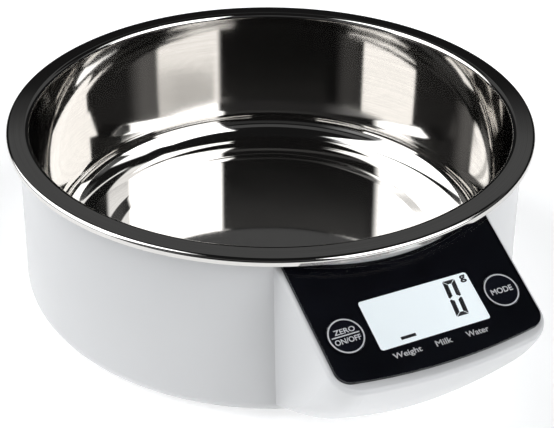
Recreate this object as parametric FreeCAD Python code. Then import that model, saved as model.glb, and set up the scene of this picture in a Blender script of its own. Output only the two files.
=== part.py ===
import FreeCAD, Part
import math
import os

# Round kitchen scale with a lift-out steel bowl and a sloping display console.
# Everything is drawn with the bowl's axis on Z at x = y = 0 and the housing's lower edge at z = 0.
# save() then moves it so that the origin is on the table, under the middle of the whole outline.
# The console points to -Y. Millimetres.

V = FreeCAD.Vector
Z_AXIS = V(0, 0, 1)
ORIGIN = V(0, 0, 0)

# ---- driving dimensions ---------------------------------------------------------------------
# steel bowl
RIM_R = 110.0
RIM_TOP_Z = 73.6
RIM_LIP_DROP = 2.6
BOWL_SHEET = 0.6
BOWL_WALL_R_TOP = 100.3
BOWL_WALL_R_FLOOR = 97.4
BOWL_CORNER_R = 12.0
BOWL_FLOOR_Z = 9.0
BOWL_CENTRE_RAISE = 0.8
BOWL_STEP_R = 72.0
BOWL_STEP_HALF = 3.0
BOWL_STEP_ROUND = 12.0

# housing
WALL = 2.2
HOUSING_R_TOP = 105.2
HOUSING_R_BOTTOM = 108.0
HOUSING_TOP_Z = 68.5
HOUSING_BOTTOM_ROUND = 6.5
DECK_TOP_Z = 7.0
DECK_THICK = 1.6
DECK_HOLE_R = 33.0
FLANGE_THICK = 1.8
UNDER_DECK_R = 103.5
FOOT_PROUD = 1.2

# console and its sloping panel
PANEL_SLOPE = 24.3
PANEL_TOP_Y = -103.0
PANEL_TOP_Z = 67.1
GLASS_HALF_TOP = 41.8
GLASS_HALF_FRONT = 41.0
GLASS_FRONT_V = 46.5
GLASS_FRONT_ARC_R = 236.0
GLASS_CORNER_R = 5.5
GLASS_THICK = 1.9
GLASS_PROUD = 1.2
PRINT_THICK = 0.26
GLUE_THICK = 0.04
BORDER_SIDE = 2.1
BORDER_FRONT = 4.2
BORDER_CORNER_R = 10.9
BORDER_ROUND = 1.5
NOSE_R = 56.3
NOSE_FRONT_Y = -108.9
NOSE_HALF_WIDTH = 43.7
NOSE_BACK_Y = -80.0
BELLY_Z = 18.2
BELLY_REACH = 0.77

# display and keys, on the panel: u runs across, v runs down the slope from its top edge
LCD_U = 22.15
WINDOW_SHIFT = 0.6
LCD_V_TOP = 15.7
LCD_V_LOW = 35.6
KEY_U = 31.45
KEY_V = 27.0
KEY_R = 6.7
KEY_GAP = 0.25
KEY_FLANGE_R = 7.25

# base plate and what stands on it
PLATE_BOTTOM_Z = 0.2
PLATE_THICK = 1.8
PLATE_R = 99.8
FIT_GAP = 0.2
FOOT_R = 9.0
FOOT_SINK = 0.8
FOOT_RING_R = 80.0
BASE_SCREW_RING_R = 92.0
BASE_SCREW_ANGLES = (20, 70, 110, 160, 215, 325)

# weighing platform and load cell
PLATFORM_R = 66.0
PLATFORM_THICK = 1.4
CELL_X = 36.0
CELL_Y = 32.0
CELL_THICK = 2.2
CELL_BOTTOM_Z = 3.4

# coin cell and its turning cap
DOOR_X = -28.0
DOOR_Y = -62.0
DOOR_R = 13.0
COIN_R = 10.0
COIN_THICK = 3.2
DOOR_OPEN_ANGLE = 60
DOOR_LUG_HALF = 12
SIDE_CONTACT_ANGLE = -42

# circuit board, in the panel's own frame
PCB_TOP_L = -7.8
PCB_THICK = 1.2
PCB_U = 37.0
PCB_V_TOP = 10.5
PCB_V_LOW = 40.5
KEY_STEM_L = -4.8
SWITCH_TOP_L = -5.6
SOCKET_V = 15.2
CELL_WIRE_X = (10.4, 11.6, 12.8, 14.0)
DOOR_WIRE_X = (-11.2, -10.0)
WIRE_R = 0.45
WIRE_RUN_Z = 3.6
PCB_SCREWS = ((-33.0, 14.0), (33.0, 14.0), (-33.0, 38.0), (33.0, 38.0))

# ---- values that follow from them ------------------------------------------------------------
CONSOLE_REACH = 148.3
AXIS_Y = (CONSOLE_REACH - RIM_R) / 2
PLATE_TOP_Z = PLATE_BOTTOM_Z + PLATE_THICK
DECK_BOTTOM_Z = DECK_TOP_Z - DECK_THICK
PLATFORM_TOP_Z = BOWL_FLOOR_Z + BOWL_CENTRE_RAISE - BOWL_SHEET
PLATFORM_BOTTOM_Z = PLATFORM_TOP_Z - PLATFORM_THICK
GLASS_BOTTOM_L = -GLASS_THICK
PRINT_TOP_L = GLASS_BOTTOM_L - GLUE_THICK
PRINT_BOTTOM_L = PRINT_TOP_L - PRINT_THICK
BORDER_L = -GLASS_PROUD
PANEL_WALL_BOTTOM_L = PRINT_BOTTOM_L - 1.4
KEY_HOLE_R = KEY_R + KEY_GAP


# ---- helpers ---------------------------------------------------------------------------------
def save(name, shape):
    """Move a finished piece to the object's own origin and write it."""
    os.makedirs("parts", exist_ok=True)
    moved = shape.copy()
    moved.translate(V(0, AXIS_Y, FOOT_PROUD))
    moved.exportStep("parts/" + name + ".step")
    print("%-22s %d solid  %8.2f cm3" % (name, len(moved.Solids), moved.Volume / 1000))


def rounded_path(points, radii):
    """A wire of straight runs; each inner point is rounded by an arc of its own radius."""
    edges = []
    start = points[0]
    for i in range(1, len(points) - 1):
        corner = points[i]
        back = (points[i - 1] - corner).normalize()
        ahead = (points[i + 1] - corner).normalize()
        half = back.getAngle(ahead) / 2
        reach = radii[i - 1] / math.tan(half)
        first = corner + back * reach
        last = corner + ahead * reach
        centre = corner + (back + ahead).normalize() * (radii[i - 1] / math.sin(half))
        middle = centre + (corner - centre).normalize() * radii[i - 1]
        if (first - start).Length > 1e-6:
            edges.append(Part.LineSegment(start, first).toShape())
        edges.append(Part.Arc(first, middle, last).toShape())
        start = last
    edges.append(Part.LineSegment(start, points[-1]).toShape())
    return Part.Wire(edges)


def line(a, b):
    return Part.LineSegment(a, b).toShape()


def arc(a, b, c):
    return Part.Arc(a, b, c).toShape()


def disc(radius, z_low, z_high, x=0.0, y=0.0):
    return Part.makeCylinder(radius, z_high - z_low, V(x, y, z_low))


def ring(r_out, r_in, z_low, z_high, x=0.0, y=0.0):
    return disc(r_out, z_low, z_high, x, y).cut(disc(r_in, z_low, z_high, x, y))


def box(x0, x1, y0, y1, z0, z1):
    return Part.makeBox(x1 - x0, y1 - y0, z1 - z0, V(x0, y0, z0))


def turned(wire):
    """Solid of revolution of a closed profile in the XZ plane."""
    return Part.Face(wire).revolve(ORIGIN, Z_AXIS, 360)


def polar(radius, angle):
    return radius * math.cos(math.radians(angle)), radius * math.sin(math.radians(angle))


def tube(points, radii, radius):
    """Round wire along a rounded path."""
    path = rounded_path(points, radii)
    tangent = (points[1] - points[0]).normalize()
    profile = Part.Wire(Part.makeCircle(radius, points[0], tangent))
    return path.makePipeShell([profile], True, False)


def on_panel(shape):
    """Stand a piece drawn in the panel's frame (u, -v, height) on the sloping panel."""
    placed = shape.copy()
    placed.rotate(ORIGIN, V(1, 0, 0), PANEL_SLOPE)
    placed.translate(V(0, PANEL_TOP_Y, PANEL_TOP_Z))
    return placed


def panel_point(u, v, height):
    slope = math.radians(PANEL_SLOPE)
    y = PANEL_TOP_Y - v * math.cos(slope) - height * math.sin(slope)
    z = PANEL_TOP_Z - v * math.sin(slope) + height * math.cos(slope)
    return V(u, y, z)


def panel_box(u0, u1, v0, v1, low, high):
    """Box in the panel's frame; v runs down the slope."""
    return box(u0, u1, -v1, -v0, low, high)


def housing_radius(z):
    return HOUSING_R_BOTTOM + (HOUSING_R_TOP - HOUSING_R_BOTTOM) * z / HOUSING_TOP_Z


def mirror(p):
    return V(-p.x, p.y, p.z)


def panel_corner_points(half_top, half_front, front_v, front_r, corner_r, height, back_v):
    """Right half of a panel outline: shoulder, flank, corner middle, tip and front middle."""
    centre_u = half_front - corner_r
    drop = front_r - math.sqrt((front_r - corner_r) ** 2 - centre_u ** 2)
    centre_v = front_v - drop
    lean = math.atan2(centre_u, front_r - drop)
    points = [V(half_top, -back_v, height), V(half_front, -centre_v, height)]
    for angle in ((lean + math.pi / 2) / 2, lean):
        u = centre_u + corner_r * math.sin(angle)
        points.append(V(u, -centre_v - corner_r * math.cos(angle), height))
    points.append(V(0, -front_v, height))
    return points


def nose_points(shrink, z):
    """Right half of the console's foot: the same five points, on an arc about the housing's inside."""
    radius = NOSE_R - shrink
    half = NOSE_HALF_WIDTH - shrink
    centre_y = NOSE_FRONT_Y + NOSE_R
    points = [V(half, NOSE_BACK_Y, z)]
    for share in (1.0, 0.86, 0.7, 0.0):
        x = half * share
        points.append(V(x, centre_y - math.sqrt(radius ** 2 - x ** 2), z))
    return points


def outline(half):
    """Closed wire from the five points of a right half: sides, corner arcs and one front arc."""
    shoulder, flank, corner, tip, front = half
    edges = [line(mirror(shoulder), shoulder), line(shoulder, flank), arc(flank, corner, tip)]
    edges.append(arc(tip, front, mirror(tip)))
    edges.append(arc(mirror(tip), mirror(corner), mirror(flank)))
    edges.append(line(mirror(flank), mirror(shoulder)))
    return Part.Wire(edges)


def stand_points(points):
    """The same points, moved from the panel's frame to their place on the slope."""
    return [panel_point(p.x, -p.y, p.z) for p in points]


def flared_block(foot, head, belly_z):
    """Solid whose walls bow out from a foot outline to a head outline."""
    wires = []
    for step in range(7):
        t = step / 6
        section = []
        for low, high in zip(foot, head):
            belly = low + (high - low) * BELLY_REACH
            belly.z = belly_z
            section.append(low * (1 - t) ** 2 + belly * (2 * t * (1 - t)) + high * t ** 2)
        wires.append(outline(section))
    return Part.makeLoft(wires, True, False)


# ---- bowl ------------------------------------------------------------------------------------
def bowl():
    centre_z = BOWL_FLOOR_Z + BOWL_CENTRE_RAISE
    points = [
        V(0, 0, centre_z),
        V(BOWL_STEP_R - BOWL_STEP_HALF, 0, centre_z),
        V(BOWL_STEP_R + BOWL_STEP_HALF, 0, BOWL_FLOOR_Z),
        V(BOWL_WALL_R_FLOOR, 0, BOWL_FLOOR_Z),
        V(BOWL_WALL_R_TOP, 0, RIM_TOP_Z),
        V(RIM_R, 0, RIM_TOP_Z),
        V(RIM_R, 0, RIM_TOP_Z - RIM_LIP_DROP),
    ]
    radii = [BOWL_STEP_ROUND, BOWL_STEP_ROUND, BOWL_CORNER_R, 2.2, 1.5]
    inner = rounded_path(points, radii)
    sheet = inner.makeOffset2D(-BOWL_SHEET, 0, True, True, False)
    return turned(sheet.Wires[0])


# ---- housing ---------------------------------------------------------------------------------
def round_body():
    top = V(HOUSING_R_TOP, 0, HOUSING_TOP_Z)
    path = rounded_path(
        [ORIGIN, V(HOUSING_R_BOTTOM, 0, 0), top, V(0, 0, HOUSING_TOP_Z)],
        [HOUSING_BOTTOM_ROUND, 0.9],
    )
    wire = Part.Wire(path.Edges + [line(V(0, 0, HOUSING_TOP_Z), ORIGIN)])
    return turned(wire)


def border_points(inset, height):
    return stand_points(panel_corner_points(
        GLASS_HALF_TOP + BORDER_SIDE - inset,
        GLASS_HALF_FRONT + BORDER_SIDE - inset,
        GLASS_FRONT_V + BORDER_FRONT - inset,
        GLASS_FRONT_ARC_R,
        BORDER_CORNER_R - inset,
        height,
        -9.0,
    ))


def console_block():
    """Flared body, closed by a cap whose edge is rounded in five steps of a quarter circle."""
    seam = BORDER_L - BORDER_ROUND
    body = flared_block(nose_points(0, 0), border_points(0, seam), BELLY_Z)
    wires = []
    for step in range(5):
        angle = math.radians(22.5 * step)
        inset = BORDER_ROUND * (1 - math.cos(angle))
        wires.append(outline(border_points(inset, seam + BORDER_ROUND * math.sin(angle))))
    return body.fuse(Part.makeLoft(wires, True, False))


def console_hollow():
    foot = nose_points(1.0, FLANGE_THICK)
    head = border_points(WALL + 0.3, PANEL_WALL_BOTTOM_L)
    return flared_block(foot, head, BELLY_Z + 1.2)


def console_trim(z_low, z_high):
    """Everything in front of the bowl's axis between two levels, to trim the console with."""
    return box(-60, 60, -170, -60, z_low, z_high)


def inner_round(inset, z_low, z_high):
    """Solid of the housing's round wall, drawn in by `inset`, between two levels."""
    profile = [
        V(0, 0, z_low),
        V(housing_radius(z_low) - inset, 0, z_low),
        V(housing_radius(z_high) - inset, 0, z_high),
        V(0, 0, z_high),
        V(0, 0, z_low),
    ]
    return turned(Part.makePolygon(profile))


def glass_outline_solid(inset, low, high):
    points = panel_corner_points(
        GLASS_HALF_TOP - inset,
        GLASS_HALF_FRONT - inset,
        GLASS_FRONT_V - inset,
        GLASS_FRONT_ARC_R,
        GLASS_CORNER_R - inset,
        low,
        -9.0,
    )
    block = Part.Face(outline(points)).extrude(V(0, 0, high - low))
    return on_panel(block)


def key_hole(side, radius, low, high):
    return on_panel(disc(radius, low, high, side * KEY_U, -KEY_V))


def screw_boss(x, y):
    boss = disc(3.6, PLATE_TOP_Z, DECK_BOTTOM_Z, x, y)
    return boss, disc(1.15, PLATE_TOP_Z - 0.1, DECK_TOP_Z - 0.8, x, y)


def housing_shell():
    console = console_block().common(console_trim(0, HOUSING_TOP_Z))
    shell = round_body().fuse(console)
    # bowl well and the space under its deck
    well = inner_round(WALL, DECK_TOP_Z, HOUSING_TOP_Z + 1)
    under = disc(UNDER_DECK_R, FLANGE_THICK, DECK_BOTTOM_Z)
    hollow = console_hollow()
    doorway = hollow.common(box(-36, 36, -125, -95, FLANGE_THICK, DECK_BOTTOM_Z))
    front_room = hollow.common(console_trim(DECK_BOTTOM_Z - 0.01, HOUSING_TOP_Z))
    front_room = front_room.cut(inner_round(0, -1, HOUSING_TOP_Z + 5))
    foot_ledge = doorway.fuse(under)
    shell = shell.cut(well)
    shell = shell.cut(foot_ledge.fuse(front_room))
    shell = shell.cut(disc(DECK_HOLE_R, DECK_BOTTOM_Z - 1, DECK_TOP_Z + 1))
    shell = shell.cut(disc(PLATE_R + FIT_GAP, -1, FLANGE_THICK + 0.01))
    # panel seat, display window and key holes
    seat = glass_outline_solid(-FIT_GAP, PRINT_BOTTOM_L, 6.0).cut(inner_round(0, -1, 90))
    shell = shell.cut(seat)
    window = panel_box(-LCD_U - 2.6, LCD_U + 2.6, LCD_V_TOP - 1.8, LCD_V_LOW + 1.8, -6, 0)
    shell = shell.cut(on_panel(window))
    for side in (-1, 1):
        shell = shell.cut(key_hole(side, KEY_HOLE_R, -6, 0))
    # screw posts for the base plate and for the circuit board
    for angle in BASE_SCREW_ANGLES:
        x, y = polar(BASE_SCREW_RING_R, angle)
        boss, hole = screw_boss(x, y)
        shell = shell.fuse(boss).cut(hole)
    for u, v in PCB_SCREWS:
        shell = shell.fuse(on_panel(disc(2.4, PCB_TOP_L, PANEL_WALL_BOTTOM_L + 0.2, u, -v)))
        shell = shell.cut(on_panel(disc(0.85, PCB_TOP_L - 1, PANEL_WALL_BOTTOM_L + 0.1, u, -v)))
    return shell.removeSplitter()


# ---- base ------------------------------------------------------------------------------------
def foot_places():
    return [polar(FOOT_RING_R, angle) for angle in (45, 135, 225, 315)]


def base_plate():
    plate = disc(PLATE_R, PLATE_BOTTOM_Z, PLATE_TOP_Z)
    # pads that carry the load cell, and a wall round the coin cell
    for side in (-1, 1):
        x = side * (CELL_X / 2 - 3.5)
        plate = plate.fuse(box(x - 3.5, x + 3.5, -CELL_Y / 2, CELL_Y / 2, PLATE_TOP_Z, CELL_BOTTOM_Z))
    plate = plate.fuse(ring(DOOR_R + 3.4, DOOR_R + 2.0, PLATE_TOP_Z, DECK_BOTTOM_Z - 0.2, DOOR_X, DOOR_Y))
    # stiffening rings and ribs
    plate = plate.fuse(ring(40.0, 38.6, PLATE_TOP_Z, PLATE_TOP_Z + 1.6))
    for angle, half in ((0, 3.2), (SIDE_CONTACT_ANGLE, 4.8)):
        gate = box(DOOR_R + 1.0, DOOR_R + 5.0, -half, half, 4.0, DECK_BOTTOM_Z)
        gate.rotate(ORIGIN, Z_AXIS, angle)
        gate.translate(V(DOOR_X, DOOR_Y, 0))
        plate = plate.cut(gate)
    plate = plate.cut(box(4, 25, -42, -30, PLATE_TOP_Z, PLATE_TOP_Z + 2))
    # door hole with two gates for the cap's lugs
    plate = plate.cut(disc(DOOR_R + 0.15, 0, PLATE_TOP_Z + 0.5, DOOR_X, DOOR_Y))
    for turn in (0, 180):
        plate = plate.cut(lug(turn + DOOR_OPEN_ANGLE, 0.35, 0, PLATE_TOP_Z + 0.1))
    for x, y in foot_places():
        plate = plate.cut(disc(FOOT_R + 0.1, 0, PLATE_BOTTOM_Z + FOOT_SINK, x, y))
    for angle in BASE_SCREW_ANGLES:
        x, y = polar(BASE_SCREW_RING_R, angle)
        plate = plate.cut(disc(1.5, 0, PLATE_TOP_Z + 0.1, x, y))
        plate = plate.cut(disc(2.7, 0, PLATE_BOTTOM_Z + 1.0, x, y))
    for x, y in cell_screw_places():
        plate = plate.cut(disc(1.6, 0, CELL_BOTTOM_Z + 0.1, x, y))
        plate = plate.cut(disc(3.0, 0, PLATE_BOTTOM_Z + 1.2, x, y))
    return plate


def pan_screw(x, y, head_r, head_low, head_high, shank_r, tip_z):
    screw = disc(head_r, head_low, head_high, x, y).fuse(disc(shank_r, head_high, tip_z, x, y))
    for turn in (0, 90):
        slot = box(-head_r * 0.6, head_r * 0.6, -0.25, 0.25, head_low - 0.1, head_low + 0.5)
        slot.rotate(ORIGIN, Z_AXIS, turn)
        slot.translate(V(x, y, 0))
        screw = screw.cut(slot)
    return screw


def base_screws():
    head_low = PLATE_BOTTOM_Z + 0.1
    screws = []
    for angle in BASE_SCREW_ANGLES:
        x, y = polar(BASE_SCREW_RING_R, angle)
        screws.append(pan_screw(x, y, 2.5, head_low, PLATE_BOTTOM_Z + 1.0, 1.15, DECK_TOP_Z - 1.0))
    return Part.makeCompound(screws)


def foot(x, y):
    body = disc(FOOT_R, -FOOT_PROUD, PLATE_BOTTOM_Z + FOOT_SINK, x, y)
    rim = [e for e in body.Edges if abs(e.CenterOfMass.z + FOOT_PROUD) < 1e-3 and e.Closed]
    body = body.makeFillet(0.6, rim)
    return body.cut(ring(5.6, 4.8, -FOOT_PROUD - 0.1, -FOOT_PROUD + 0.4, x, y))


# ---- coin cell -------------------------------------------------------------------------------
def lug(angle, grow, z_low, z_high):
    """A sector of the cap's bayonet, outside the cap's cup."""
    reach = DOOR_R + 1.3 + grow
    half = DOOR_LUG_HALF + 3 * grow
    x0, y0 = polar(reach, angle - half)
    xm, ym = polar(reach, angle)
    x1, y1 = polar(reach, angle + half)
    wire = Part.Wire([line(ORIGIN, V(x0, y0, 0)), arc(V(x0, y0, 0), V(xm, ym, 0), V(x1, y1, 0)),
                      line(V(x1, y1, 0), ORIGIN)])
    sector = Part.Face(wire).extrude(V(0, 0, z_high - z_low))
    sector.translate(V(DOOR_X, DOOR_Y, z_low))
    return sector.cut(disc(DOOR_R - 2.0, z_low - 1, z_high + 1, DOOR_X, DOOR_Y))


def battery_door():
    cap = disc(DOOR_R, PLATE_BOTTOM_Z, PLATE_BOTTOM_Z + 1.3, DOOR_X, DOOR_Y)
    cap = cap.fuse(ring(COIN_R + 1.4, COIN_R + 0.3, PLATE_BOTTOM_Z + 1.3, 3.6, DOOR_X, DOOR_Y))
    for turn in (0, 180):
        arm = lug(turn, 0, PLATE_TOP_Z + 0.15, PLATE_TOP_Z + 1.1)
        cap = cap.fuse(arm.cut(disc(COIN_R + 0.3, 0, 5, DOOR_X, DOOR_Y)))
    slot = box(-8, 8, -0.9, 0.9, 0, PLATE_BOTTOM_Z + 0.7)
    slot.rotate(ORIGIN, Z_AXIS, 90)
    slot.translate(V(DOOR_X, DOOR_Y, 0))
    return cap.cut(slot)


def door_seal():
    return ring(DOOR_R - 0.1, COIN_R + 1.5, PLATE_BOTTOM_Z + 1.3, PLATE_TOP_Z, DOOR_X, DOOR_Y)


def coin_cell():
    low = PLATE_BOTTOM_Z + 1.5
    cell = disc(COIN_R, low + 0.4, low + COIN_THICK, DOOR_X, DOOR_Y)
    return cell.fuse(disc(COIN_R - 1.2, low, low + 0.4, DOOR_X, DOOR_Y))


def top_contact():
    """Sprung strip over the coin cell, with the tail its lead is soldered to."""
    z = PLATE_BOTTOM_Z + 1.5 + COIN_THICK
    strip = box(DOOR_X - 8, DOOR_X + 18.8, DOOR_Y - 2.5, DOOR_Y + 2.5, z + 0.05, z + 0.3)
    dimple = disc(1.2, z, z + 0.05, DOOR_X, DOOR_Y)
    return strip.fuse(dimple)


def side_contact():
    """Sprung blade that bears on the coin cell's rim."""
    blade = box(COIN_R, COIN_R + 0.25, -4, 4, 3.8, 4.55)
    foot_pad = box(COIN_R, DOOR_R + 4.4, -4, 4, 4.55, 4.8)
    blade = blade.fuse(foot_pad)
    blade.rotate(ORIGIN, Z_AXIS, SIDE_CONTACT_ANGLE)
    blade.translate(V(DOOR_X, DOOR_Y, 0))
    return blade


# ---- load cell and weighing platform ---------------------------------------------------------
def cell_screw_places():
    return [(sx * (CELL_X / 2 - 3.5), sy * 11.0) for sx in (-1, 1) for sy in (-1, 1)]


def hub_screw_places():
    return [(5.0, -4.0), (5.0, 4.0)]


def load_cell():
    """Flat steel cell: the frame is held, the tongue inside the slot bends under the platform."""
    low = CELL_BOTTOM_Z
    high = low + CELL_THICK
    cell = box(-CELL_X / 2, CELL_X / 2, -CELL_Y / 2, CELL_Y / 2, low, high)
    corners = [e for e in cell.Edges if abs(e.tangentAt(0).z) > 0.9]
    cell = cell.makeFillet(3.0, corners)
    for side in (-1, 1):
        cell = cell.cut(box(-9.0, 9.6, side * 8.4 - 0.8, side * 8.4 + 0.8, low, high))
        cell = cell.cut(disc(1.6, low, high, -9.0, side * 8.4))
    cell = cell.cut(box(8.0, 9.6, -8.4, 8.4, low, high))
    for side in (-1, 1):
        cell = cell.cut(disc(2.2, low, high, -4.6, side * 4.2))
    for x, y in cell_screw_places() + hub_screw_places():
        cell = cell.cut(disc(1.55, low, high, x, y))
    return cell


def strain_gauges():
    high = CELL_BOTTOM_Z + CELL_THICK
    pads = [box(-7.0, -2.6, -1.6, 1.6, high, high + 0.12)]
    pads.append(box(-7.0, -2.6, -1.6, 1.6, CELL_BOTTOM_Z - 0.12, CELL_BOTTOM_Z))
    return Part.makeCompound(pads)


def gauge_potting():
    high = CELL_BOTTOM_Z + CELL_THICK
    dome = Part.makeSphere(4.0, V(-4.8, 0, high - 3.0))
    dome = dome.common(box(-12, 4, -6, 6, high, high + 2))
    return dome.cut(box(-7.0, -2.6, -1.6, 1.6, high, high + 0.12))


def terminal_board():
    """Small circuit strip on the frame where the gauge wires end."""
    high = CELL_BOTTOM_Z + CELL_THICK
    return box(8.0, 16.0, -15.4, -13.4, high, high + 0.5)


def cell_screws():
    screws = []
    for x, y in cell_screw_places():
        head_low = PLATE_BOTTOM_Z + 0.1
        screws.append(pan_screw(x, y, 2.8, head_low, PLATE_BOTTOM_Z + 1.2, 1.5, CELL_BOTTOM_Z + CELL_THICK))
    return Part.makeCompound(screws)


def weighing_platform():
    top = disc(PLATFORM_R, PLATFORM_BOTTOM_Z, PLATFORM_TOP_Z)
    edge = [e for e in top.Edges if e.Closed and abs(e.CenterOfMass.z - PLATFORM_TOP_Z) < 1e-3]
    top = top.makeFillet(0.8, edge)
    # shallow moulded grooves, and the hub that stands on the cell's tongue
    for radius in (30.0, 45.0, 60.0):
        top = top.cut(ring(radius + 1.0, radius - 1.0, PLATFORM_TOP_Z - 0.5, PLATFORM_TOP_Z + 1))
    hub = box(1.6, 7.6, -7.4, 7.4, CELL_BOTTOM_Z + CELL_THICK, PLATFORM_BOTTOM_Z + 0.1)
    top = top.fuse(hub)
    for x, y in hub_screw_places():
        top = top.cut(disc(1.6, 0, 20, x, y))
        top = top.cut(disc(3.0, PLATFORM_TOP_Z - 1.3, 20, x, y))
    return top


def hub_screws():
    screws = []
    for x, y in hub_screw_places():
        screw = disc(2.8, PLATFORM_TOP_Z - 1.3, PLATFORM_TOP_Z - 0.2, x, y)
        screw = screw.fuse(disc(1.5, CELL_BOTTOM_Z + 0.3, PLATFORM_TOP_Z - 1.3, x, y))
        slot = box(x - 1.7, x + 1.7, y - 0.25, y + 0.25, PLATFORM_TOP_Z - 0.6, PLATFORM_TOP_Z)
        screws.append(screw.cut(slot))
    return Part.makeCompound(screws)


# ---- panel, display and keys -----------------------------------------------------------------
def panel_glass():
    plate = glass_outline_solid(0, GLASS_BOTTOM_L, 0).cut(inner_round(-FIT_GAP, -1, 90))
    for side in (-1, 1):
        plate = plate.cut(key_hole(side, KEY_HOLE_R, -5, 5))
    return plate


def panel_print():
    """Black printed film, glued behind the glass and open over the display."""
    film = glass_outline_solid(0, PRINT_BOTTOM_L, PRINT_TOP_L).cut(inner_round(-FIT_GAP, -1, 90))
    window = panel_box(WINDOW_SHIFT - LCD_U, WINDOW_SHIFT + LCD_U, LCD_V_TOP, LCD_V_LOW, -5, 5)
    corners = [e for e in window.Edges if abs(e.tangentAt(0).z) > 0.9]
    film = film.cut(on_panel(window.makeFillet(1.2, corners)))
    for side in (-1, 1):
        film = film.cut(key_hole(side, KEY_HOLE_R, -5, 5))
    return film


def key(side):
    """Round cap flush with the glass, a flange that keeps it in, and a stem for the switch."""
    cap = disc(KEY_R, PANEL_WALL_BOTTOM_L, 0)
    edge = [e for e in cap.Edges if e.Closed and abs(e.CenterOfMass.z) < 1e-3]
    cap = cap.makeFillet(0.1, edge)
    cap = cap.fuse(disc(KEY_FLANGE_R, PANEL_WALL_BOTTOM_L - 0.8, PANEL_WALL_BOTTOM_L))
    cap = cap.fuse(disc(1.9, KEY_STEM_L, PANEL_WALL_BOTTOM_L - 0.8))
    cap.translate(V(side * KEY_U, -KEY_V, 0))
    return on_panel(cap)


def key_plunger(side):
    pin = disc(1.7, SWITCH_TOP_L - 0.6, KEY_STEM_L, side * KEY_U, -KEY_V)
    return on_panel(pin)


def key_switch(side):
    u = side * KEY_U
    body = panel_box(u - 3, u + 3, KEY_V - 3, KEY_V + 3, PCB_TOP_L, SWITCH_TOP_L)
    corners = [e for e in body.Edges if abs(e.tangentAt(0).z) > 0.9]
    body = body.makeChamfer(0.5, corners)
    body = body.cut(disc(1.78, SWITCH_TOP_L - 1.2, 0, u, -KEY_V))
    return on_panel(body)


def lcd_cell():
    """Two glass plates; the lower one is longer and carries the contact ledge."""
    front = panel_box(-23.6, 23.6, LCD_V_TOP - 1.2, LCD_V_LOW + 1.2, -3.3, -2.3)
    back = panel_box(-23.9, 23.9, LCD_V_TOP - 1.6, LCD_V_LOW + 1.6, -4.3, -3.3)
    return on_panel(front.fuse(back))


def lcd_diffuser():
    return on_panel(panel_box(-23.6, 23.6, LCD_V_TOP - 0.7, LCD_V_LOW + 0.7, -4.55, -4.35))


def light_guide():
    guide = panel_box(-23.4, 23.4, LCD_V_TOP - 0.8, LCD_V_LOW + 0.8, -6.6, -4.6)
    return on_panel(guide)


def lcd_frame():
    frame = panel_box(-27.0, 27.0, LCD_V_TOP - 3.6, LCD_V_LOW + 3.6, PCB_TOP_L, -3.7)
    room = panel_box(-24.4, 24.4, LCD_V_TOP - 1.8, LCD_V_LOW + 1.8, -6.8, 0)
    frame = frame.cut(room)
    led_room = panel_box(23.0, 25.8, 23.0, 29.0, PCB_TOP_L - 1, -4.6)
    frame = frame.cut(led_room)
    frame = frame.cut(panel_box(-22.0, 22.0, LCD_V_TOP - 1.6, LCD_V_LOW + 1.6, PCB_TOP_L - 1, -6.7))
    for v in (LCD_V_TOP - 2.6, LCD_V_LOW + 0.8):
        frame = frame.cut(panel_box(-21.0, 21.0, v, v + 1.8, PCB_TOP_L - 1, -4.3))
    for side in (-1, 1):
        frame = frame.cut(disc(KEY_FLANGE_R + 0.4, PANEL_WALL_BOTTOM_L - 1.5, 0, side * KEY_U, -KEY_V))
    return on_panel(frame)


def backlight_led():
    return on_panel(panel_box(23.7, 25.4, 24.4, 27.6, PCB_TOP_L, -5.4))


def contact_strips():
    """Striped rubber connectors between the circuit board and the display's ledges."""
    strips = []
    for v in (LCD_V_TOP - 2.5, LCD_V_LOW + 0.9):
        strips.append(on_panel(panel_box(-20.8, 20.8, v, v + 1.6, PCB_TOP_L, -4.3)))
    return Part.makeCompound(strips)


def main_pcb():
    board = panel_box(-PCB_U, PCB_U, PCB_V_TOP, PCB_V_LOW, PCB_TOP_L - PCB_THICK, PCB_TOP_L)
    corners = [e for e in board.Edges if abs(e.tangentAt(0).z) > 0.9]
    board = board.makeFillet(2.0, corners)
    for u, v in PCB_SCREWS:
        board = board.cut(disc(1.2, PCB_TOP_L - 3, PCB_TOP_L + 1, u, -v))
    return on_panel(board)


def pcb_screws():
    back = PCB_TOP_L - PCB_THICK
    screws = []
    for u, v in PCB_SCREWS:
        screw = disc(1.9, back - 1.1, back, u, -v)
        screw = screw.fuse(disc(0.85, back, PANEL_WALL_BOTTOM_L - 0.4, u, -v))
        slot = panel_box(u - 1.3, u + 1.3, v - 0.2, v + 0.2, back - 1.2, back - 0.7)
        screws.append(on_panel(screw.cut(slot)))
    return Part.makeCompound(screws)


def chip_blob():
    """Controller bonded to the board under a dome of black resin."""
    back = PCB_TOP_L - PCB_THICK
    dome = Part.makeSphere(14.0, V(-4.0, -25.0, back + 12.4))
    return on_panel(dome.common(box(-16, 8, -40, -10, back - 3, back)))


def converter_chip():
    back = PCB_TOP_L - PCB_THICK
    body = panel_box(10.0, 14.0, 21.0, 31.0, back - 1.6, back - 0.15)
    for i in range(8):
        v = 21.5 + i * 1.22
        body = body.fuse(panel_box(8.8, 10.2, v, v + 0.5, back - 0.6, back))
        body = body.fuse(panel_box(13.8, 15.2, v, v + 0.5, back - 0.6, back))
    return on_panel(body)


def small_components():
    back = PCB_TOP_L - PCB_THICK
    parts = []
    for i in range(5):
        parts.append(on_panel(panel_box(-24.0 + 2.6 * i, -22.6 + 2.6 * i, 34.0, 36.4, back - 0.8, back)))
    for i in range(4):
        parts.append(on_panel(panel_box(17.6, 19.0, 22.0 + 2.8 * i, 24.2 + 2.8 * i, back - 0.7, back)))
    return Part.makeCompound(parts)


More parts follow.
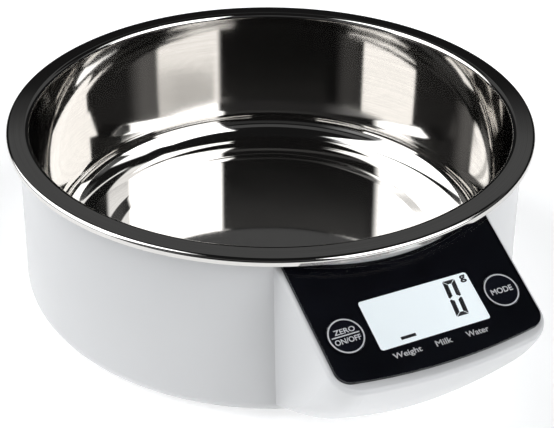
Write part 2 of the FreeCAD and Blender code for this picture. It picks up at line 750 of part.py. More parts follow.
def socket(u, v, ways):
    """Wire connector on the back of the circuit board."""
    back = PCB_TOP_L - PCB_THICK
    width = 1.25 * ways + 1.6
    body = panel_box(u - width / 2, u + width / 2, v - 1.8, v + 1.8, back - 3.2, back)
    return on_panel(body)


def wire_up_console(start_points, start_radii, x):
    """Lead from its start, under the deck, up the console and into a socket's underside."""
    end = panel_point(x, SOCKET_V, PCB_TOP_L - PCB_THICK - 3.2)
    slope = math.radians(PANEL_SLOPE)
    square_on = end - V(0, -math.sin(slope), math.cos(slope)) * 6.0
    points = start_points + [
        V(x, -109.4, WIRE_RUN_Z),
        V(x, -110.6, 26.0),
        square_on,
        end,
    ]
    return tube(points, start_radii + [3.0, 30.0, 5.0], WIRE_R)


def load_cell_wires():
    """Four leads that start flat on the load cell's terminal strip."""
    z = CELL_BOTTOM_Z + CELL_THICK + 0.5 + WIRE_R
    wires = []
    for x in CELL_WIRE_X:
        start = [V(x, -14.0, z), V(x, -18.0, z), V(x, -24.0, WIRE_RUN_Z)]
        wires.append(wire_up_console(start, [3.0, 3.0], x))
    return Part.makeCompound(wires)


def battery_wires():
    """Two leads, from the undersides of the coin cell's contacts."""
    side_x, top_x = DOOR_WIRE_X
    tail_x, tail_y = polar(DOOR_R + 3.6, SIDE_CONTACT_ANGLE)
    tail = V(DOOR_X + tail_x, DOOR_Y + tail_y, 4.55 - WIRE_R)
    first = wire_up_console([tail, V(side_x, tail.y - 8.0, WIRE_RUN_Z)], [4.0], side_x)
    top_z = PLATE_BOTTOM_Z + 1.5 + COIN_THICK + 0.05 - WIRE_R
    second = wire_up_console(
        [V(top_x, DOOR_Y + 1.0, top_z), V(top_x, DOOR_Y - 5.0, top_z), V(top_x, DOOR_Y - 12.0, WIRE_RUN_Z)],
        [4.0, 4.0],
        top_x,
    )
    return Part.makeCompound([first, second])


def main():
    save("bowl", bowl())
    save("housing_shell", housing_shell())
    save("base_plate", base_plate())
    save("base_screws", base_screws())
    for name, place in zip(("rear_right", "rear_left", "front_left", "front_right"), foot_places()):
        save("foot_" + name, foot(*place))
    save("battery_door", battery_door())
    save("door_seal", door_seal())
    save("coin_cell", coin_cell())
    save("battery_top_contact", top_contact())
    save("battery_side_contact", side_contact())
    save("load_cell", load_cell())
    save("strain_gauges", strain_gauges())
    save("gauge_potting", gauge_potting())
    save("load_cell_screws", cell_screws())
    save("terminal_board", terminal_board())
    save("weighing_platform", weighing_platform())
    save("platform_screws", hub_screws())
    save("panel_glass", panel_glass())
    save("panel_print", panel_print())
    for side, name in ((-1, "zero"), (1, "mode")):
        save(name + "_key", key(side))
        save(name + "_plunger", key_plunger(side))
        save(name + "_switch", key_switch(side))
    save("lcd_cell", lcd_cell())
    save("lcd_diffuser", lcd_diffuser())
    save("light_guide", light_guide())
    save("lcd_frame", lcd_frame())
    save("backlight_led", backlight_led())
    save("contact_strips", contact_strips())
    save("main_pcb", main_pcb())
    save("pcb_screws", pcb_screws())
    save("chip_blob", chip_blob())
    save("converter_chip", converter_chip())
    save("small_components", small_components())
    save("load_cell_socket", socket(12.2, SOCKET_V, 4))
    save("battery_socket", socket(sum(DOOR_WIRE_X) / 2, SOCKET_V, 2))
    save("load_cell_wires", load_cell_wires())
    save("battery_wires", battery_wires())


main()
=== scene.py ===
import math

import bmesh
import bpy
from mathutils import Matrix, Vector


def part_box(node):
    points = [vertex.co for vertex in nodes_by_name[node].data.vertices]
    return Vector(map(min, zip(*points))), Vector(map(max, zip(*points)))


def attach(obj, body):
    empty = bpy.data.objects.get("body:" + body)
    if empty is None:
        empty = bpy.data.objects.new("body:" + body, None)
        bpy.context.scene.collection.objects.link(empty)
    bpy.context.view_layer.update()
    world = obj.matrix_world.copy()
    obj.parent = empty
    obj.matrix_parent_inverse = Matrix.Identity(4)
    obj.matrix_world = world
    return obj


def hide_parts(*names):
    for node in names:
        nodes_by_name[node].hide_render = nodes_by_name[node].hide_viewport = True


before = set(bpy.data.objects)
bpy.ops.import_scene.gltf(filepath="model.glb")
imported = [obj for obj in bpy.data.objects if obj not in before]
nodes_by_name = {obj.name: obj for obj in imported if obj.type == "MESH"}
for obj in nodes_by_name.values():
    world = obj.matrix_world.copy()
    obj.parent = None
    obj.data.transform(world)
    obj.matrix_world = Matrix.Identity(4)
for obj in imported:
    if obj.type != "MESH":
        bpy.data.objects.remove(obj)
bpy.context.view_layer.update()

# ---- measures: metres in AXIS_Y and wherever MM is used, millimetres elsewhere -----------------
MM = 0.001
bowl_low, bowl_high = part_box("bowl")
AXIS_Y = (bowl_low[1] + bowl_high[1]) / 2
FOOT_PROUD = 1.2 * MM

# The bowl's seen face as (radius, height) from its middle to its lip, the radii of its corners,
# and the sheet's thickness.
BOWL_PATH = ((0, 9.8), (69, 9.8), (75, 9.0), (97.4, 9.0), (100.3, 73.6), (110, 73.6), (110, 71.0))
BOWL_CORNERS = (12.0, 12.0, 12.0, 2.2, 1.5)
BOWL_SHEET = 0.6
BOWL_TURNS = 256
ARC_STEPS = 16

# Places on the panel are (u, v): u to the right of the bowl's axis, v down the slope.
PANEL_SLOPE = math.radians(24.3)
PANEL_ORIGIN = Vector((0.0, AXIS_Y - 103.0 * MM, FOOT_PROUD + 67.1 * MM))
KEY_U = 31.45
KEY_V = 27.0
KEY_R = 6.7
RING_OUTER_INSET = 0.1
RING_INNER_INSET = 0.62
LCD_LIFT = -2.27
PRINT_LIFT = 0.02
PRINT_THICK = 0.03
FILM_LIFT = 0.06

# Letters, in the units of Blender's text: half the depth, and how far the outline and the depth
# grow, for words and for the display's unit. Points nearer than WELD_DISTANCE are joined, and the
# depth is flattened.
LETTER_HALF = 0.01
LETTER_BOLD = 0.018
UNIT_BOLD = 0.04
WELD_DISTANCE = 1e-5
LETTER_FLATTEN = 0.6

# name, word, left, right, top, bottom, body, slot
LEGENDS = (
    ("zero_key_tare", "ZERO", -35.3, -27.3, 24.0, 26.0, "zero_key", "black_key"),
    ("zero_key_power", "ON/OFF", -36.4, -26.5, 27.6, 29.7, "zero_key", "black_key"),
    ("mode_key_word", "MODE", 27.1, 35.9, 25.9, 28.2, "mode_key", "black_key"),
    ("legend_weight", "Weight", -19.1, -8.0, 38.15, 40.9, "housing", "black_print"),
    ("legend_milk", "Milk", -2.4, 4.1, 38.2, 40.4, "housing", "black_print"),
    ("legend_water", "Water", 9.9, 18.9, 38.3, 40.5, "housing", "black_print"),
)

FLOOR_HALF = 3000.0 * MM

# Sockets of a Mix node that blends colours, and the part of a noise's range that is used.
MIX_A, MIX_B, MIX_RESULT = 6, 7, 2
NOISE_LOW, NOISE_HIGH = 0.3, 0.7


def new_piece(name, data):
    """An object for a mesh, a curve or a camera, linked into the scene."""
    piece = bpy.data.objects.new(name, data)
    bpy.context.scene.collection.objects.link(piece)
    return piece


def calculate(tree, operation, *values):
    """A Math node fed with numbers or other nodes' outputs."""
    node = tree.nodes.new("ShaderNodeMath")
    node.operation = operation
    for socket, value in zip(node.inputs, values):
        if isinstance(value, (int, float)):
            socket.default_value = value
        else:
            tree.links.new(value, socket)
    return node.outputs[0]


# ---- materials ---------------------------------------------------------------------------------
class Shader:
    """A new material with a Principled shader, and short ways to feed its sockets."""

    def __init__(self, name, colour, roughness, metallic=0.0, **sockets):
        self.material = bpy.data.materials.new(name)
        self.material.use_nodes = True
        self.tree = self.material.node_tree
        self.bsdf = self.tree.nodes["Principled BSDF"]
        self.set("Base Color", (*colour, 1.0))
        self.set("Roughness", roughness)
        self.set("Metallic", metallic)
        for socket, value in sockets.items():
            self.set(socket.replace("_", " "), value)
        self.colour = colour
        self.roughness = roughness

    def set(self, socket, value):
        self.bsdf.inputs[socket].default_value = value

    def add(self, kind, **inputs):
        node = self.tree.nodes.new(kind)
        for name, value in inputs.items():
            node.inputs[name.replace("_", " ")].default_value = value
        return node

    def link(self, source, target):
        self.tree.links.new(source, target)

    def here(self):
        """Position on the object, in metres."""
        return self.add("ShaderNodeTexCoord").outputs["Object"]

    def noise(self, scale, detail=3.0, roughness=0.55, where=None):
        node = self.add("ShaderNodeTexNoise", Scale=scale, Detail=detail, Roughness=roughness)
        self.link(where or self.here(), node.inputs["Vector"])
        return node.outputs["Fac"]

    def ranged(self, value, low, high, out_low, out_high):
        """Carry a value from one range into another, clamped."""
        node = self.add("ShaderNodeMapRange", From_Min=low, From_Max=high,
                        To_Min=out_low, To_Max=out_high)
        self.link(value, node.inputs["Value"])
        return node.outputs["Result"]

    def calc(self, operation, *values):
        return calculate(self.tree, operation, *values)

    def vary_colour(self, value, other, low=0.35, high=0.65):
        """Blend the base colour towards another as a value rises."""
        mix = self.add("ShaderNodeMix")
        mix.data_type = "RGBA"
        self.link(self.ranged(value, low, high, 0.0, 1.0), mix.inputs[0])
        mix.inputs[MIX_A].default_value = (*self.colour, 1.0)
        mix.inputs[MIX_B].default_value = (*other, 1.0)
        self.link(mix.outputs[MIX_RESULT], self.bsdf.inputs["Base Color"])

    def vary_roughness(self, value, spread):
        """Let the roughness wander by up to `spread` either way."""
        least, most = self.roughness - spread, self.roughness + spread
        rough = self.ranged(value, NOISE_LOW, NOISE_HIGH, least, most)
        self.link(rough, self.bsdf.inputs["Roughness"])

    def bump(self, value, height):
        node = self.add("ShaderNodeBump", Strength=1.0, Distance=height)
        self.link(value, node.inputs["Height"])
        self.link(node.outputs["Normal"], self.bsdf.inputs["Normal"])


def shade(colour, factor):
    """A darker or lighter form of a colour."""
    return tuple(c * factor for c in colour)


def moulded_plastic(name, colour, roughness, grain=0.012, coat=0.0):
    """Injection-moulded plastic: faint flow mottle, uneven gloss and a fine skin."""
    s = Shader(name, colour, roughness, IOR=1.5, Coat_Weight=coat, Coat_Roughness=0.08)
    s.vary_colour(s.noise(14.0, 2.0), shade(colour, 0.975))
    s.vary_roughness(s.noise(60.0, 4.0), roughness * 0.1)
    s.bump(s.noise(900.0, 2.0), grain * MM)
    return s.material


def spun_steel(name, colour, roughness, spread, ring_density, mark_height):
    """Polished steel with fine marks that run round the bowl's axis, and very shallow dents."""
    smallest_radius = 0.1 * MM
    mark_length = 1.6
    dent_height = 0.05
    s = Shader(name, colour, roughness, metallic=1.0, Anisotropic=0.35, Anisotropic_Rotation=0.25)
    split = s.add("ShaderNodeSeparateXYZ")
    s.link(s.here(), split.inputs[0])
    x, y, z = split.outputs
    y = s.calc("SUBTRACT", y, AXIS_Y)
    square = s.calc("ADD", s.calc("MULTIPLY", x, x), s.calc("MULTIPLY", y, y))
    radius = s.calc("MAXIMUM", s.calc("SQRT", square), smallest_radius)
    ring = s.add("ShaderNodeCombineXYZ")
    s.link(s.calc("MULTIPLY", s.calc("DIVIDE", x, radius), mark_length), ring.inputs[0])
    s.link(s.calc("MULTIPLY", s.calc("DIVIDE", y, radius), mark_length), ring.inputs[1])
    s.link(s.calc("MULTIPLY", s.calc("ADD", radius, z), ring_density), ring.inputs[2])
    around = s.add("ShaderNodeCombineXYZ")
    s.link(s.calc("DIVIDE", s.calc("MULTIPLY", y, -1.0), radius), around.inputs[0])
    s.link(s.calc("DIVIDE", x, radius), around.inputs[1])
    s.link(around.outputs[0], s.bsdf.inputs["Tangent"])
    marks = s.noise(1.0, 4.0, 0.65, ring.outputs[0])
    s.vary_colour(marks, shade(colour, 0.9))
    s.vary_roughness(marks, spread)
    dents = s.calc("MULTIPLY", s.noise(28.0, 1.0), dent_height / mark_height)
    s.bump(s.calc("ADD", marks, dents), mark_height * MM)
    return s.material


def ground_metal(name, colour, roughness, stretch=(1.0, 1.0, 1.0)):
    """Plated or ground metal: short grinding marks and a cloudy gloss."""
    s = Shader(name, colour, roughness, metallic=1.0)
    scaled = s.add("ShaderNodeMapping")
    scaled.inputs["Scale"].default_value = stretch
    s.link(s.here(), scaled.inputs["Vector"])
    marks = s.noise(700.0, 3.0, 0.6, scaled.outputs[0])
    s.vary_colour(marks, shade(colour, 0.85))
    s.vary_roughness(s.noise(120.0, 3.0), roughness * 0.3)
    s.bump(marks, 0.004 * MM)
    return s.material


def soft_rubber(name, colour):
    """Dull rubber with a fine grain."""
    s = Shader(name, colour, 0.62, IOR=1.5)
    s.vary_colour(s.noise(300.0, 4.0), shade(colour, 1.5))
    s.vary_roughness(s.noise(500.0, 3.0), 0.1)
    s.bump(s.noise(1500.0, 2.0), 0.02 * MM)
    return s.material


def panel_clear():
    """Clear panel plate: very slight surface waviness, dust-fine gloss variation."""
    s = Shader("panel_clear", (1.0, 1.0, 1.0), 0.02, IOR=1.49, Transmission_Weight=1.0)
    s.vary_roughness(s.noise(80.0, 3.0), 0.012)
    s.bump(s.noise(25.0, 1.0), 0.004 * MM)
    return s.material


def black_gloss(name, colour=(0.004, 0.0045, 0.007), roughness=0.07, **sockets):
    """A near-black surface, glossy unless a roughness is given."""
    s = Shader(name, colour, roughness, IOR=1.5, **sockets)
    s.vary_colour(s.noise(30.0, 2.0), shade(colour, 1.7))
    s.vary_roughness(s.noise(90.0, 3.0), roughness * 0.4)
    return s.material


def lit_display():
    """The display's bright ground: it gives off a cool white, a little weaker towards the left."""
    half_width = 24 * MM
    s = Shader("display_ground", (0.10, 0.11, 0.12), 0.36, IOR=1.5,
               Emission_Color=(0.88, 0.955, 0.99, 1.0))
    split = s.add("ShaderNodeSeparateXYZ")
    s.link(s.here(), split.inputs[0])
    fall = s.ranged(split.outputs["X"], -half_width, half_width, 0.90, 1.0)
    cloud = s.ranged(s.noise(70.0, 2.0), NOISE_LOW, NOISE_HIGH, 0.985, 1.0)
    s.link(s.calc("MULTIPLY", fall, cloud), s.bsdf.inputs["Emission Strength"])
    s.vary_roughness(s.noise(400.0, 2.0), 0.05)
    return s.material


def circuit_board():
    """Green solder mask, with the copper tracks showing through as lighter patches."""
    s = Shader("solder_mask", (0.012, 0.11, 0.045), 0.32, IOR=1.5)
    s.vary_colour(s.noise(220.0, 2.0), (0.03, 0.2, 0.08), 0.5, 0.52)
    s.vary_roughness(s.noise(300.0, 2.0), 0.07)
    s.bump(s.noise(220.0, 2.0), 0.03 * MM)
    return s.material


def copper_foil():
    """The strain gauges' etched foil."""
    s = Shader("gauge_foil", (0.75, 0.42, 0.16), 0.35, metallic=0.6)
    s.vary_colour(s.noise(2500.0, 1.0), (0.45, 0.22, 0.06), 0.48, 0.52)
    s.vary_roughness(s.noise(800.0, 2.0), 0.1)
    return s.material


def light_print():
    """Light grey screen print, a little uneven."""
    s = Shader("light_print", (0.62, 0.62, 0.64), 0.45, IOR=1.5)
    s.vary_colour(s.noise(1800.0, 3.0), (0.50, 0.50, 0.52))
    s.vary_roughness(s.noise(1200.0, 2.0), 0.08)
    return s.material


def display_ink():
    """The dark parts of the display."""
    s = Shader("display_ink", (0.008, 0.008, 0.012), 0.4, IOR=1.5)
    s.vary_colour(s.noise(900.0, 2.0), (0.02, 0.02, 0.026))
    s.vary_roughness(s.noise(900.0, 2.0), 0.08)
    return s.material


def pale_floor():
    """A nearly white floor that gives off some light of its own, so that its shadows stay faint."""
    s = Shader("pale_floor", (0.93, 0.93, 0.93), 0.6,
               Emission_Color=(1.0, 1.0, 1.0, 1.0), Emission_Strength=0.4)
    s.vary_colour(s.noise(6.0, 2.0), (0.92, 0.92, 0.92))
    return s.material


def dress_nodes():
    """Give every CAD node its material; small repeated parts get theirs by their names."""
    steel = ground_metal("zinc_plate", (0.58, 0.58, 0.60), 0.3, stretch=(1.0, 1.0, 0.1))
    white = moulded_plastic("satin_white", (0.78, 0.78, 0.78), 0.42, grain=0.02)
    rubber = soft_rubber("black_rubber", (0.02, 0.02, 0.021))
    nylon = moulded_plastic("black_nylon", (0.03, 0.03, 0.032), 0.4)
    cream = moulded_plastic("cream_nylon", (0.72, 0.68, 0.56), 0.45)
    board = circuit_board()
    strip = ground_metal("nickel_strip", (0.72, 0.69, 0.62), 0.22)
    key_black = black_gloss("key_black")
    frost = moulded_plastic("frosted_acrylic", (0.82, 0.86, 0.9), 0.35)
    materials = {
        "bowl": ground_metal("bowl_steel", (0.6, 0.6, 0.6), 0.2),
        "housing_shell": moulded_plastic("gloss_white", (0.61, 0.613, 0.62), 0.33,
                                         grain=0.002, coat=0.25),
        "base_plate": white,
        "battery_door": white,
        "weighing_platform": white,
        "lcd_frame": white,
        "door_seal": rubber,
        "contact_strips": soft_rubber("striped_rubber", (0.35, 0.2, 0.16)),
        "load_cell": ground_metal("ground_steel", (0.5, 0.5, 0.52), 0.28,
                                  stretch=(0.08, 1.0, 1.0)),
        "strain_gauges": copper_foil(),
        "gauge_potting": soft_rubber("clear_silicone", (0.6, 0.6, 0.56)),
        "terminal_board": board,
        "main_pcb": board,
        "coin_cell": ground_metal("cell_can", (0.7, 0.69, 0.66), 0.2),
        "battery_top_contact": strip,
        "battery_side_contact": strip,
        "panel_glass": panel_clear(),
        "panel_print": black_gloss("black_print", roughness=0.15),
        "lcd_cell": lit_display(),
        "lcd_diffuser": frost,
        "light_guide": frost,
        "backlight_led": moulded_plastic("phosphor", (0.85, 0.78, 0.35), 0.3),
        "chip_blob": black_gloss("black_resin", (0.01, 0.01, 0.01), 0.3),
        "converter_chip": nylon,
        "small_components": moulded_plastic("ceramic_body", (0.32, 0.24, 0.16), 0.5),
        "load_cell_socket": cream,
        "battery_socket": cream,
        "load_cell_wires": moulded_plastic("wire_cover", (0.42, 0.05, 0.04), 0.4),
        "battery_wires": moulded_plastic("wire_cover_black", (0.03, 0.03, 0.03), 0.4),
    }
    by_last_word = {"screws": steel, "key": key_black, "switch": nylon, "plunger": cream}
    for name, node in nodes_by_name.items():
        if name.startswith("foot_"):
            material = rubber
        elif name in materials:
            material = materials[name]
        else:
            material = by_last_word[name.rpartition("_")[2]]
        for slot in node.material_slots:
            slot.material = material


# ---- the bowl ----------------------------------------------------------------------------------
def rounded_profile(points, radii, steps):
    """Points and normals of the seen face, along a path whose inner points are rounded by arcs."""
    corners = [Vector(p) for p in points]
    profile = []
    for before, corner, after, radius in zip(corners, corners[1:], corners[2:], radii):
        back = (before - corner).normalized()
        ahead = (after - corner).normalized()
        half = back.angle(ahead) / 2
        centre = corner + (back + ahead).normalized() * (radius / math.sin(half))
        turn = 1 if back.cross(ahead) < 0 else -1
        first = (corner + back * (radius / math.tan(half)) - centre).normalized()
        sweep = (math.pi - 2 * half) * turn
        for step in range(steps + 1):
            angle = sweep * step / steps
            spoke = Vector((first.x * math.cos(angle) - first.y * math.sin(angle),
                            first.x * math.sin(angle) + first.y * math.cos(angle)))
            profile.append((centre + spoke * radius, spoke * -turn))
    return profile


def steel_bowl():
    """The bowl as one smooth sheet of revolution, with the CAD's own profile and thickness."""
    seen = rounded_profile(BOWL_PATH, BOWL_CORNERS, ARC_STEPS)
    seen.append((Vector(BOWL_PATH[-1]), seen[-1][1]))
    hidden = [(point - normal * BOWL_SHEET, -normal) for point, normal in reversed(seen)]
    middle = BOWL_PATH[0][1]
    verts = [(0, AXIS_Y, FOOT_PROUD + height * MM) for height in (middle, middle - BOWL_SHEET)]
    normals = [(0, 0, 1), (0, 0, -1)]
    first = len(verts)
    for point, normal in seen + hidden:
        for turn in range(BOWL_TURNS):
            angle = 2 * math.pi * turn / BOWL_TURNS
            x, y = math.cos(angle), math.sin(angle)
            verts.append((point.x * x * MM, AXIS_Y + point.x * y * MM, FOOT_PROUD + point.y * MM))
            normals.append((normal.x * x, normal.x * y, normal.y))
    faces = []
    last = len(verts) - BOWL_TURNS
    for turn in range(BOWL_TURNS):
        nxt = (turn + 1) % BOWL_TURNS
        faces.append((0, first + turn, first + nxt))
        faces.append((1, last + nxt, last + turn))
        for low in range(first, last, BOWL_TURNS):
            high = low + BOWL_TURNS
            faces.append((low + turn, high + turn, high + nxt, low + nxt))
    mesh = bpy.data.meshes.new("steel_bowl")
    mesh.from_pydata(verts, [], faces)
    mesh.shade_smooth()
    mesh.normals_split_custom_set_from_vertices(normals)
    mesh.materials.append(spun_steel("polished_steel", (0.655, 0.64, 0.62), 0.055,
                                     spread=0.02, ring_density=2600.0, mark_height=0.0004))
    piece = new_piece("steel_bowl", mesh)
    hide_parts("bowl")
    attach(piece, "bowl")


# ---- pieces on the panel -----------------------------------------------------------------------
def panel_place(u, v, lift):
    """Matrix that stands a flat piece, drawn in millimetres, on the panel."""
    spin = Matrix.Rotation(PANEL_SLOPE, 4, "X")
    shift = Matrix.Translation(Vector((u, -v, lift)) * MM)
    return Matrix.Translation(PANEL_ORIGIN) @ spin @ shift @ Matrix.Scale(MM, 4)


def flat_print(name, outlines, place, material, body):
    """Thin solids from (outer, inner) outlines in the panel's plane, riding on a body."""
    verts = []
    faces = []
    for outer, inner in outlines:
        add_prism(verts, faces, outer, inner, PRINT_THICK)
    mesh = bpy.data.meshes.new(name)
    mesh.from_pydata(verts, [], faces)
    mesh.transform(place)
    mesh.materials.append(material)
    mesh.validate()
    mesh.update()
    piece = new_piece(name, mesh)
    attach(piece, body)


def add_prism(verts, faces, outer, inner, thick):
    """Add a prism to the lists. With `inner`, an outline of as many points, it is a frame."""
    start = len(verts)
    count = len(outer)
    rims = [outer] if inner is None else [outer, inner]
    for rim in rims:
        verts += [(x, y, 0.0) for x, y in rim] + [(x, y, thick) for x, y in rim]
    for k in range(count):
        nxt = (k + 1) % count
        faces.append((start + k, start + nxt, start + count + nxt, start + count + k))
    if inner is None:
        faces.append(tuple(start + count + k for k in range(count)))
        faces.append(tuple(start + k for k in reversed(range(count))))
        return
    low = start + 2 * count
    for k in range(count):
        nxt = (k + 1) % count
        faces.append((low + nxt, low + k, low + count + k, low + count + nxt))
        faces.append((start + count + k, start + count + nxt, low + count + nxt, low + count + k))
        faces.append((start + nxt, start + k, low + k, low + nxt))


def circle(radius, count=96):
    angles = [2 * math.pi * k / count for k in range(count)]
    return [(radius * math.cos(angle), radius * math.sin(angle)) for angle in angles]


def rectangle(x0, x1, y0, y1):
    return [(x0, y0), (x1, y0), (x1, y1), (x0, y1)]


def bonded_print():
    """The black film, raised just into the panel plate, as if glued to it without any air."""
    mesh = nodes_by_name["panel_print"].data.copy()
    lift = Matrix.Rotation(PANEL_SLOPE, 3, "X") @ Vector((0, 0, FILM_LIFT * MM))
    mesh.transform(Matrix.Translation(lift))
    mesh.name = "panel_film"
    mesh.materials.clear()
    mesh.materials.append(black_gloss("black_film", roughness=0.5, Specular_IOR_Level=0.02))
    piece = new_piece("panel_film", mesh)
    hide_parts("panel_print")
    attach(piece, "housing")


def label(name, word, box, lift, bold, material, body):
    """A generic word as a thin print, fitted into a box (left, right, top, bottom) on the panel."""
    left, right, top, bottom = box
    curve = bpy.data.curves.new(name, "FONT")
    curve.body = word
    curve.extrude = LETTER_HALF
    curve.bevel_depth = bold
    curve.bevel_resolution = 0
    curve.resolution_u = 4
    text = new_piece(name + "_text", curve)
    bpy.context.view_layer.update()
    evaluated = text.evaluated_get(bpy.context.evaluated_depsgraph_get())
    mesh = bpy.data.meshes.new_from_object(evaluated)
    bpy.data.objects.remove(text)
    xs = [vertex.co.x for vertex in mesh.vertices]
    ys = [vertex.co.y for vertex in mesh.vertices]
    wide = (right - left) / (max(xs) - min(xs))
    tall = (bottom - top) / (max(ys) - min(ys))
    to_corner = Matrix.Translation((-min(xs), -min(ys), LETTER_HALF + bold))
    fit = Matrix.Diagonal((wide, tall, LETTER_FLATTEN, 1.0)) @ to_corner
    weld = bmesh.new()
    weld.from_mesh(mesh)
    bmesh.ops.remove_doubles(weld, verts=weld.verts, dist=WELD_DISTANCE)
    weld.to_mesh(mesh)
    weld.free()
    mesh.transform(panel_place(left, bottom, lift) @ fit)
    mesh.materials.clear()
    mesh.materials.append(material)
    mesh.name = name
    piece = new_piece(name, mesh)
    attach(piece, body)


def digit_outlines(u, v, width, height, lean):
    """Six mitred bars of a display zero whose top left corner is at (u, v)."""
    side, bar, gap = 1.75, 1.45, 0.17
    tip = 0.5
    inner_end, tip_end, outer_end = (height / 2 - short for short in (1.0, 0.2, 0.55))
    cap = [(gap, 0), (width - gap, 0), (width - side - gap / 2, bar), (side + gap / 2, bar)]
    upright = [(0, gap), (side, bar + gap), (side, inner_end), (tip, tip_end), (0, outer_end)]
    shapes = [
        cap,
        [(x, height - y) for x, y in reversed(cap)],
        upright,
        [(width - x, y) for x, y in reversed(upright)],
        [(x, height - y) for x, y in reversed(upright)],
        [(width - x, height - y) for x, y in upright],
    ]
    return [([(u + x - lean * y, -v - y) for x, y in reversed(shape)], None) for shape in shapes]


def display_marks():
    """A zero, its unit and the mark over the chosen mode."""
    ink = display_ink()
    outlines = digit_outlines(u=12.27, v=17.06, width=5.05, height=14.35, lean=0.096)
    mode_mark = rectangle(-12.57, -6.67, -33.69, -32.54)
    outlines.append((mode_mark, None))
    flat_print("display_digit", outlines, panel_place(0, 0, LCD_LIFT), ink, "housing")
    unit_box = (19.2, 21.8, 16.45, 19.5)
    label("display_unit", "g", unit_box, LCD_LIFT, UNIT_BOLD, ink, "housing")


def panel_legends():
    """Generic words for the keys and modes, and the rings that mark the keys."""
    ink = light_print()
    for side, body in ((-1, "zero_key"), (1, "mode_key")):
        place = panel_place(side * KEY_U, KEY_V, PRINT_LIFT)
        ring = [(circle(KEY_R - RING_OUTER_INSET), circle(KEY_R - RING_INNER_INSET))]
        flat_print(body + "_ring", ring, place, ink, body)
    bar = [(rectangle(-36.8, -26.3, -26.95, -26.5), None)]
    flat_print("zero_key_bar", bar, panel_place(0, 0, PRINT_LIFT), ink, "zero_key")
    for name, word, *box, body, slot in LEGENDS:
        label(name, word, box, PRINT_LIFT, LETTER_BOLD, ink, body)


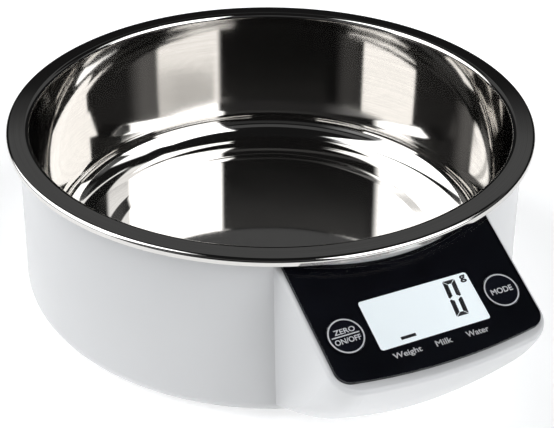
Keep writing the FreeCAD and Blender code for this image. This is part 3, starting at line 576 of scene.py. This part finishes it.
# ---- studio ------------------------------------------------------------------------------------
def studio_world():
    """White seen directly; for light and reflections, a dim room with soft bright panels."""
    world = bpy.data.worlds.new("studio")
    bpy.context.scene.world = world
    world.use_nodes = True
    tree = world.node_tree
    tree.nodes.clear()
    add = tree.nodes.new
    link = tree.links.new

    def calc(operation, *values):
        return calculate(tree, operation, *values)

    split = add("ShaderNodeSeparateXYZ")
    link(add("ShaderNodeTexCoord").outputs["Generated"], split.inputs[0])
    x, y, z = split.outputs
    azimuth = calc("ARCTAN2", y, x)
    height = calc("ARCSINE", z)

    def softbox(az, el, half_az, half_el, soft_az, soft_el, level):
        """Glow inside a rectangle of sky; angles in degrees, azimuth from +X towards +Y."""
        turn = calc("WRAP", calc("SUBTRACT", azimuth, math.radians(az)), math.pi, -math.pi)
        rise = calc("SUBTRACT", height, math.radians(el))
        edges = []
        for value, half, soft in ((turn, half_az, soft_az), (rise, half_el, soft_el)):
            fall = add("ShaderNodeMapRange")
            fall.interpolation_type = "SMOOTHSTEP"
            fall.inputs["From Min"].default_value = math.radians(half + soft)
            fall.inputs["From Max"].default_value = math.radians(half)
            link(calc("ABSOLUTE", value), fall.inputs["Value"])
            edges.append(fall.outputs["Result"])
        return calc("MULTIPLY", calc("MULTIPLY", *edges), level)

    path = add("ShaderNodeLightPath")
    diffuse = path.outputs["Is Diffuse Ray"]

    def strength(seen, cast):
        """Brightness as seen in reflections, and as it lights matt surfaces."""
        return calc("ADD", seen, calc("MULTIPLY", diffuse, cast - seen))

    front_window = calc("MULTIPLY", softbox(-57.5, 38, 28, 22, 3, 3, 1.0), strength(3.8, 0.4))
    back_window = calc("MULTIPLY", softbox(149, 42, 29, 27, 6, 7, 1.0), strength(3.6, 1.35))
    crossbar = calc("SUBTRACT", 1.0, softbox(152, 27.4, 26, 1.0, 8, 0.9, 0.55))
    small_window = softbox(-21, 45, 8, 9, 4, 3, 2.0)
    bare_room = strength(0.012, 0.01)
    # The faint softboxes stand for pale things in the room, and soften the dark between windows.
    glows = [
        calc("MULTIPLY", back_window, crossbar),
        small_window,
        softbox(-14, 27, 4, 6, 12, 4, 0.12),
        softbox(-172, 26, 8, 3, 24, 5, 0.3),
        softbox(-125, 26, 40, 4, 10, 3, 0.03),
        softbox(-125, 44, 45, 5, 10, 3, 0.08),
        softbox(66, 33, 50, 4, 12, 3, 0.08),
        bare_room,
    ]
    total = front_window
    for glow in glows:
        total = calc("ADD", total, glow)
    shown = add("ShaderNodeBackground")
    shown.inputs["Color"].default_value = (1.0, 1.0, 1.0, 1.0)
    lit = add("ShaderNodeBackground")
    lit.inputs["Color"].default_value = (0.97, 0.985, 1.0, 1.0)
    link(total, lit.inputs["Strength"])
    mix = add("ShaderNodeMixShader")
    link(path.outputs["Is Camera Ray"], mix.inputs[0])
    link(lit.outputs[0], mix.inputs[1])
    link(shown.outputs[0], mix.inputs[2])
    link(mix.outputs[0], add("ShaderNodeOutputWorld").inputs["Surface"])


def floor():
    """A plain square floor at height zero, centred on the origin."""
    corners = rectangle(-FLOOR_HALF, FLOOR_HALF, -FLOOR_HALF, FLOOR_HALF)
    mesh = bpy.data.meshes.new("floor")
    mesh.from_pydata([(x, y, 0) for x, y in corners], [], [(0, 1, 2, 3)])
    mesh.materials.append(pale_floor())
    plane = new_piece("floor", mesh)


def camera():
    """The camera looks near the bowl's axis, low in the bowl, from the front left and above."""
    azimuth, elevation, roll = (math.radians(angle) for angle in (-25.64, 32.95, 0.66))
    distance = 519.73 * MM
    target = Vector((-0.98 * MM, AXIS_Y - 8.91 * MM, FOOT_PROUD + 26.94 * MM))
    back = Vector((math.sin(azimuth) * math.cos(elevation),
                   -math.cos(azimuth) * math.cos(elevation),
                   math.sin(elevation)))
    right = Vector((math.cos(azimuth), math.sin(azimuth), 0))
    up = back.cross(right)
    rolled = right * math.cos(roll) + up * math.sin(roll)
    basis = Matrix((rolled, back.cross(rolled), back)).transposed()
    data = bpy.data.cameras.new("camera")
    data.sensor_width = 36.0
    data.lens = 77.36
    data.clip_start = 0.02
    data.clip_end = 20.0
    eye = new_piece("camera", data)
    eye.matrix_world = Matrix.Translation(target + back * distance) @ basis.to_4x4()
    bpy.context.scene.camera = eye


bpy.context.scene.view_settings.view_transform = "Standard"
camera()
studio_world()
floor()
dress_nodes()
steel_bowl()
bonded_print()
display_marks()
panel_legends()
